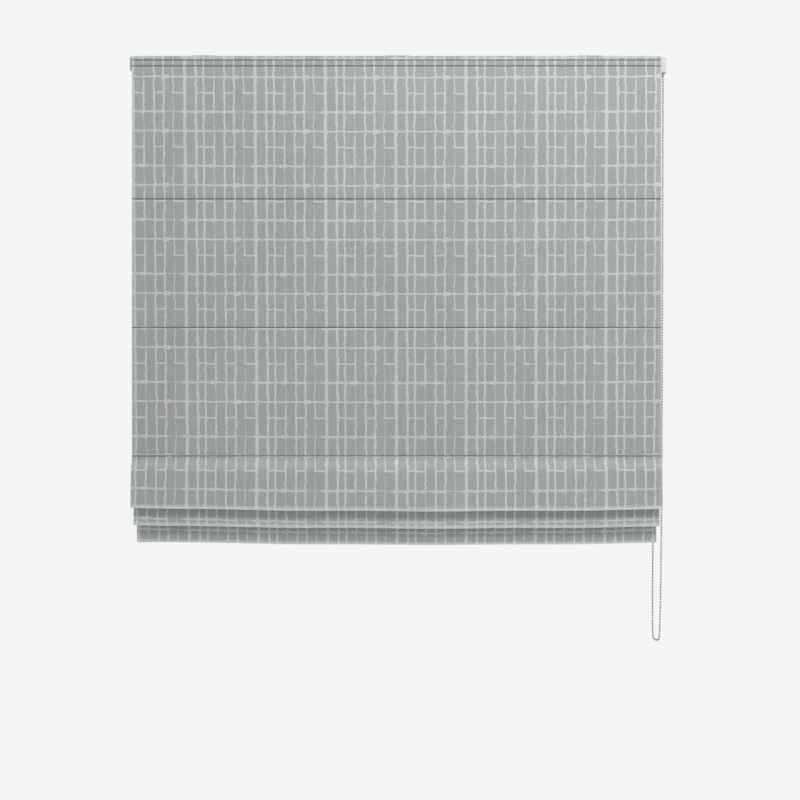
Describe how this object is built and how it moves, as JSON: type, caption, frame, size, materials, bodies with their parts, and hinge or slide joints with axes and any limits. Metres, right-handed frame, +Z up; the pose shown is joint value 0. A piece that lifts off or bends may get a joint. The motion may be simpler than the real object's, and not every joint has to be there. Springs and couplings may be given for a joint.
{
  "type": "roman blind",
  "caption": "Roman blind in patterned cloth with a side chain drive, headrail, stiffening rods and weighted hem, drawn up so that two folds hang at its foot.",
  "frame": {"origin": "middle of the middle bracket on the mounting face, the plane that is screwed up under a window head", "axes": "+X along the headrail towards the chain, -Y towards the room, +Z up"},
  "size_m": [1.1082, 0.0629, 1.214],
  "materials": {
    "face_cloth": "matt jacquard weave in grey with a paler crackle lattice",
    "lining_cloth": "plain matt lining",
    "tape": "hook and loop tape",
    "rail_aluminium": "white powder coat",
    "bracket_steel": "white paint on pressed steel",
    "white_plastic": "moulded, fine matt grain",
    "shaft_steel": "drawn steel",
    "spring_steel": "oiled spring steel",
    "rod_glass_fibre": "white glass fibre rod",
    "bar_aluminium": "mill finish",
    "lift_cord": "braided cord",
    "chain_metal": "nickel plated ball chain",
    "ring_plastic": "clear white moulding"
  },
  "bodies": {
    "rail": {"headrail": "rail_aluminium", "bracket_left": "bracket_steel", "bracket_middle": "bracket_steel", "bracket_right": "bracket_steel", "end_cap": "white_plastic", "hook_tape": "tape", "loop_tape": "tape", "face_cloth": "face_cloth", "lining": "lining_cloth", "cradle_1": "white_plastic", "cradle_2": "white_plastic", "cradle_3": "white_plastic", "cradle_4": "white_plastic", "drive_housing": "white_plastic", "drive_cover": "white_plastic", "clutch_drum": "white_plastic", "clutch_spring": "spring_steel", "bead_chain": "chain_metal", "lift_cord_1": "lift_cord", "lift_cord_2": "lift_cord", "lift_cord_3": "lift_cord", "lift_cord_4": "lift_cord"},
    "drive": {"drive_shaft": "shaft_steel", "idler_bush": "white_plastic", "chain_wheel": "white_plastic", "spool_1": "white_plastic", "spool_2": "white_plastic", "spool_3": "white_plastic", "spool_4": "white_plastic", "cord_winding_1": "lift_cord", "cord_winding_2": "lift_cord", "cord_winding_3": "lift_cord", "cord_winding_4": "lift_cord"},
    "first_rod": {"rod_1": "rod_glass_fibre", "rings_1": "ring_plastic"},
    "second_rod": {"rod_2": "rod_glass_fibre", "rings_2": "ring_plastic"},
    "third_rod": {"rod_3": "rod_glass_fibre", "rings_3": "ring_plastic"},
    "fourth_rod": {"rod_4": "rod_glass_fibre", "rings_4": "ring_plastic"},
    "hem_bar": {"rod_5": "rod_glass_fibre", "rings_5": "ring_plastic", "bottom_bar": "bar_aluminium", "bar_cap_left": "white_plastic", "bar_cap_right": "white_plastic", "bar_pocket": "lining_cloth", "cord_toggles": "ring_plastic"}
  },
  "joints": [
    {"name": "raise", "type": "slide", "parent": "rail", "child": "first_rod", "axis": [0, 0, 1], "range_m": [0, 0.244], "deforming": ["face_cloth", "lining", "lift_cord_1", "lift_cord_2", "lift_cord_3", "lift_cord_4"]},
    {"name": "second_rod_rise", "type": "slide", "parent": "first_rod", "child": "second_rod", "axis": [0, 0, 1], "range_m": [0, 0.251]},
    {"name": "third_rod_rise", "type": "slide", "parent": "second_rod", "child": "third_rod", "axis": [0, 0, 1], "range_m": [0, 0.251]},
    {"name": "unfold", "type": "slide", "parent": "third_rod", "child": "fourth_rod", "axis": [0, 0, 1], "range_m": [-0.181, 0], "deforming": ["face_cloth", "lining", "lift_cord_1", "lift_cord_2", "lift_cord_3", "lift_cord_4"]},
    {"name": "hem_unfold", "type": "slide", "parent": "fourth_rod", "child": "hem_bar", "axis": [0, 0, 1], "range_m": [-0.219, 0]},
    {"name": "drive_turn", "type": "hinge", "parent": "rail", "child": "drive", "pos_m": [0, 0, -0.021], "axis": [-1, 0, 0], "range_deg": [0, 5517]}
  ],
  "couplings": [
    {"joint": "second_rod_rise", "follows": "raise", "ratio": 1.0286},
    {"joint": "third_rod_rise", "follows": "raise", "ratio": 1.0286},
    {"joint": "drive_turn", "follows": "raise", "rad_per_m": 394.5},
    {"joint": "hem_unfold", "follows": "unfold", "ratio": 1.2099}
  ]
}
